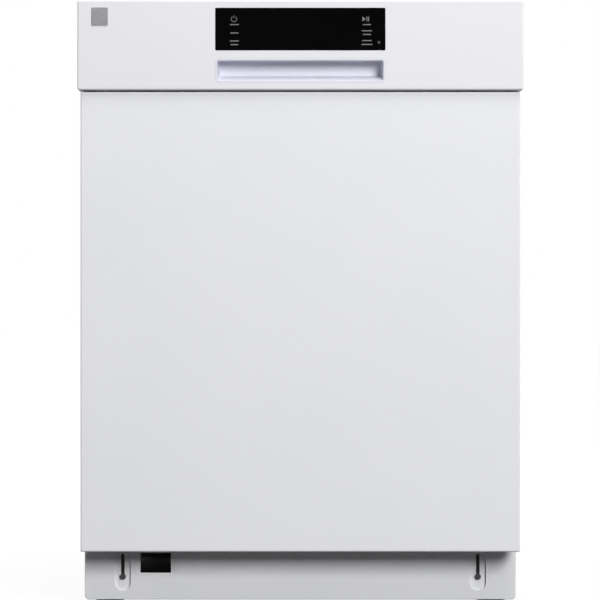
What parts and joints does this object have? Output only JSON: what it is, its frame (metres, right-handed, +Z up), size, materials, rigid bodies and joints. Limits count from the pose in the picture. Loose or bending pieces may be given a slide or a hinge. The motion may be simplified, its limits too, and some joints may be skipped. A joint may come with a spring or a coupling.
{
  "type": "built-in dishwasher",
  "caption": "White built-in dishwasher with a dark glass control strip, a pocket handle, a drop-down door, two pull-out racks, spray arms and a slotted toe kick.",
  "frame": {"origin": "on the floor, under the middle of the overall box", "axes": "+Z up, the door's front faces -Y, +X to the right seen from the front"},
  "size_m": [0.598, 0.605, 0.815],
  "materials": {
    "white_enamel": "satin",
    "white_plastic": "satin",
    "pocket_plastic": "matte",
    "black_glass": "gloss",
    "stainless": "brushed",
    "galvanised": "matte",
    "base_plastic": "matte",
    "grey_plastic": "matte",
    "dark_plastic": "matte",
    "natural_plastic": "matte",
    "rubber": "matte",
    "bitumen": "matte",
    "coated_wire": "satin",
    "circuit_board": "satin"
  },
  "bodies": {
    "cabinet": {"base_tray": "base_plastic", "left_side_panel": "galvanised", "right_side_panel": "galvanised", "tub_wrap": "stainless", "tub_back": "stainless", "tub_floor": "stainless", "door_gasket": "rubber", "lower_seal": "rubber", "sound_mat": "bitumen", "mounting_brackets": "galvanised", "latch_strike": "stainless", "sump": "base_plastic", "circulation_pump": "dark_plastic", "water_heater": "natural_plastic", "drain_pump": "base_plastic", "drain_outlet": "base_plastic", "inlet_valve": "base_plastic", "junction_box": "base_plastic", "air_break": "natural_plastic", "riser_tube": "grey_plastic", "top_sprayer": "grey_plastic", "filter_plate": "stainless", "rail_channels": "stainless", "hinge_brackets": "galvanised", "hinge_pins": "galvanised", "door_springs": "galvanised", "toe_kick_screws": "galvanised"},
    "door": {"outer_panel": "white_enamel", "door_liner": "stainless", "console": "white_plastic", "control_glass": "black_glass", "control_board": "circuit_board", "handle_cup": "pocket_plastic", "door_latch": "dark_plastic", "hinge_arms": "galvanised", "dispenser_body": "grey_plastic"},
    "paddle": {"release_paddle": "pocket_plastic"},
    "lid": {"dispenser_lid": "grey_plastic"},
    "cap": {"rinse_aid_cap": "grey_plastic"},
    "straps": {"spring_straps": "galvanised"},
    "lower_basket": {"lower_rack": "coated_wire"},
    "front_wheels": {"front_rack_wheels": "grey_plastic"},
    "rear_wheels": {"rear_rack_wheels": "grey_plastic"},
    "cutlery": {"cutlery_basket": "grey_plastic"},
    "upper_basket": {"upper_rack": "coated_wire", "rack_runners": "grey_plastic", "upper_feed_pipe": "grey_plastic"},
    "sliders": {"rail_sliders": "stainless"},
    "left_shelf": {"left_cup_shelf": "coated_wire"},
    "right_shelf": {"right_cup_shelf": "coated_wire"},
    "lower_arm": {"lower_spray_arm": "grey_plastic"},
    "upper_arm": {"upper_spray_arm": "grey_plastic"},
    "filter": {"filter_cylinder": "grey_plastic"},
    "float": {"float_dome": "grey_plastic"},
    "toe_kick": {"toe_kick_panel": "white_enamel"},
    "foot_front_left": {"front_left_foot": "dark_plastic"},
    "foot_front_right": {"front_right_foot": "dark_plastic"},
    "foot_rear_left": {"rear_left_foot": "dark_plastic"},
    "foot_rear_right": {"rear_right_foot": "dark_plastic"}
  },
  "joints": [
    {"name": "door_hinge", "type": "hinge", "parent": "cabinet", "child": "door", "pos_m": [0, -0.2625, 0.097], "axis": [1, 0, 0], "range_deg": [0, 90], "deforming": ["door_springs"]},
    {"name": "release_paddle_lift", "type": "hinge", "parent": "door", "child": "paddle", "pos_m": [0, -0.282, 0.7392], "axis": [-1, 0, 0], "range_deg": [0, 12], "stiffness_Nm_per_rad": 0.3},
    {"name": "dispenser_lid_slide", "type": "slide", "parent": "door", "child": "lid", "axis": [1, 0, 0], "range_m": [0, 0.06]},
    {"name": "rinse_cap_turn", "type": "hinge", "parent": "door", "child": "cap", "pos_m": [0.044, -0.252, 0.465], "axis": [0, 1, 0], "range_deg": [0, 90]},
    {"name": "strap_pull", "type": "slide", "parent": "cabinet", "child": "straps", "axis": [0, -1, 0], "range_m": [0, 0.0283]},
    {"name": "lower_rack_slide", "type": "slide", "parent": "cabinet", "child": "lower_basket", "axis": [0, -1, 0], "range_m": [0, 0.18]},
    {"name": "front_wheel_roll", "type": "hinge", "parent": "lower_basket", "child": "front_wheels", "pos_m": [0, -0.112, 0.149], "axis": [1, 0, 0], "continuous": true},
    {"name": "rear_wheel_roll", "type": "hinge", "parent": "lower_basket", "child": "rear_wheels", "pos_m": [0, 0.164, 0.149], "axis": [1, 0, 0], "continuous": true},
    {"name": "cutlery_basket_lift", "type": "slide", "parent": "lower_basket", "child": "cutlery", "axis": [0, 0, 1], "range_m": [0, 0.08]},
    {"name": "upper_rack_slide", "type": "slide", "parent": "cabinet", "child": "upper_basket", "axis": [0, -1, 0], "range_m": [0, 0.4]},
    {"name": "rail_slider_slide", "type": "slide", "parent": "cabinet", "child": "sliders", "axis": [0, -1, 0], "range_m": [0, 0.2]},
    {"name": "left_shelf_fold", "type": "hinge", "parent": "upper_basket", "child": "left_shelf", "pos_m": [-0.23065, 0.009, 0.534], "axis": [0, -1, 0], "range_deg": [0, 80]},
    {"name": "right_shelf_fold", "type": "hinge", "parent": "upper_basket", "child": "right_shelf", "pos_m": [0.23065, 0.009, 0.534], "axis": [0, 1, 0], "range_deg": [0, 80]},
    {"name": "lower_arm_spin", "type": "hinge", "parent": "cabinet", "child": "lower_arm", "pos_m": [0, 0.01, 0.144], "axis": [0, 0, 1], "continuous": true},
    {"name": "upper_arm_spin", "type": "hinge", "parent": "upper_basket", "child": "upper_arm", "pos_m": [0, 0.01, 0.417], "axis": [0, 0, 1], "continuous": true},
    {"name": "filter_twist", "type": "hinge", "parent": "cabinet", "child": "filter", "pos_m": [0.088, -0.07, 0.12], "axis": [0, 0, 1], "range_deg": [0, 90]},
    {"name": "float_rise", "type": "slide", "parent": "cabinet", "child": "float", "axis": [0, 0, 1], "range_m": [0, 0.008]},
    {"name": "toe_kick_drop", "type": "slide", "parent": "cabinet", "child": "toe_kick", "axis": [0, 0, -1], "range_m": [0, 0.02]},
    {"name": "front_left_foot_screw", "type": "slide", "parent": "cabinet", "child": "foot_front_left", "axis": [0, 0, -1], "range_m": [0, 0.05]},
    {"name": "front_right_foot_screw", "type": "slide", "parent": "cabinet", "child": "foot_front_right", "axis": [0, 0, -1], "range_m": [0, 0.05]},
    {"name": "rear_left_foot_screw", "type": "slide", "parent": "cabinet", "child": "foot_rear_left", "axis": [0, 0, -1], "range_m": [0, 0.05]},
    {"name": "rear_right_foot_screw", "type": "slide", "parent": "cabinet", "child": "foot_rear_right", "axis": [0, 0, -1], "range_m": [0, 0.05]}
  ],
  "couplings": [
    {"joint": "strap_pull", "follows": "door_hinge", "m_per_rad": 0.018},
    {"joint": "lower_rack_slide", "follows": "door_hinge", "m_per_rad": 0.1145},
    {"joint": "front_wheel_roll", "follows": "door_hinge", "ratio": 6.3611},
    {"joint": "rear_wheel_roll", "follows": "door_hinge", "ratio": 6.3611},
    {"joint": "upper_rack_slide", "follows": "door_hinge", "m_per_rad": 0.2546},
    {"joint": "rail_slider_slide", "follows": "door_hinge", "m_per_rad": 0.1273}
  ]
}
